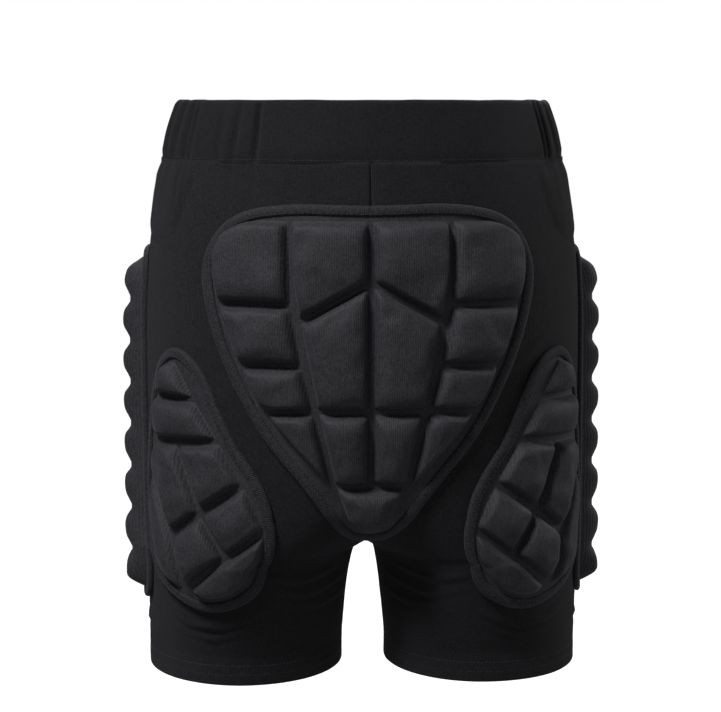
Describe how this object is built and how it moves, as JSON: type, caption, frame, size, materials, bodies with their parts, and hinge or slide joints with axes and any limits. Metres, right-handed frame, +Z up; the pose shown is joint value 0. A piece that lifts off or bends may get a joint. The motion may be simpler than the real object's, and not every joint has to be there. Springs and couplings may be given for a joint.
{
  "type": "padded impact shorts",
  "caption": "Close-fitting stretch shorts with segmented foam pads on the seat, thighs and sides, worn under trousers against falls.",
  "frame": {"origin": "middle of the waist opening, in the plane of the waistband's top edge", "axes": "+Z up out of the waist opening, -Y towards the seat, +Y towards the front, +X towards the wearer's right"},
  "size_m": [0.3674, 0.2368, 0.433],
  "materials": {
    "shell_jersey": "matt black stretch knit with a soft, slightly brushed face",
    "waistband_jersey": "matt black stretch knit, doubled over the elastic",
    "elastic": "woven elastic",
    "pad_face": "fine ribbed stretch fabric bonded over closed-cell foam, slight sheen",
    "pad_backing": "thin mesh",
    "binding_tape": "ribbed stretch binding",
    "foam": "closed-cell foam",
    "thread": "black polyester sewing thread"
  },
  "bodies": {
    "root": {"waistband_back": "waistband_jersey", "waistband_front": "waistband_jersey", "waistband_left": "waistband_jersey", "waistband_right": "waistband_jersey", "waist_elastic": "elastic", "back_panel_left": "shell_jersey", "back_panel_right": "shell_jersey", "front_panel_left": "shell_jersey", "front_panel_right": "shell_jersey", "leg_hem_left": "shell_jersey", "leg_hem_right": "shell_jersey", "hip_pad_left": "foam", "hip_pad_right": "foam", "seat_pad_backing": "pad_backing", "seat_pad_binding": "binding_tape", "seat_foam_tail": "pad_face", "seat_foam_top_outer_left": "pad_face", "seat_foam_top_outer_right": "pad_face", "seat_foam_top_inner_left": "pad_face", "seat_foam_top_inner_right": "pad_face", "seat_foam_second_outer_left": "pad_face", "seat_foam_second_outer_right": "pad_face", "seat_foam_centre_long_left": "pad_face", "seat_foam_centre_long_right": "pad_face", "seat_foam_third_outer_left": "pad_face", "seat_foam_third_outer_right": "pad_face", "seat_foam_lower_outer_left": "pad_face", "seat_foam_lower_outer_right": "pad_face", "seat_foam_lower_inner_left": "pad_face", "seat_foam_lower_inner_right": "pad_face", "thigh_pad_backing_left": "pad_backing", "thigh_pad_backing_right": "pad_backing", "thigh_pad_binding_left": "binding_tape", "thigh_pad_binding_right": "binding_tape", "thigh_foam_top_left": "pad_face", "thigh_foam_top_right": "pad_face", "thigh_foam_second_left": "pad_face", "thigh_foam_second_right": "pad_face", "thigh_foam_inner_middle_left": "pad_face", "thigh_foam_inner_middle_right": "pad_face", "thigh_foam_outer_middle_left": "pad_face", "thigh_foam_outer_middle_right": "pad_face", "thigh_foam_inner_lower_left": "pad_face", "thigh_foam_inner_lower_right": "pad_face", "thigh_foam_outer_lower_left": "pad_face", "thigh_foam_outer_lower_right": "pad_face", "thigh_foam_bottom_crescent_left": "pad_face", "thigh_foam_bottom_crescent_right": "pad_face", "thigh_foam_outer_crescent_left": "pad_face", "thigh_foam_outer_crescent_right": "pad_face", "side_pad_backing_left": "pad_backing", "side_pad_backing_right": "pad_backing", "side_pad_binding_left": "binding_tape", "side_pad_binding_right": "binding_tape", "side_foam_back_column_left": "pad_face", "side_foam_back_column_right": "pad_face", "side_foam_front_column_left": "pad_face", "side_foam_front_column_right": "pad_face"}
  },
  "joints": []
}
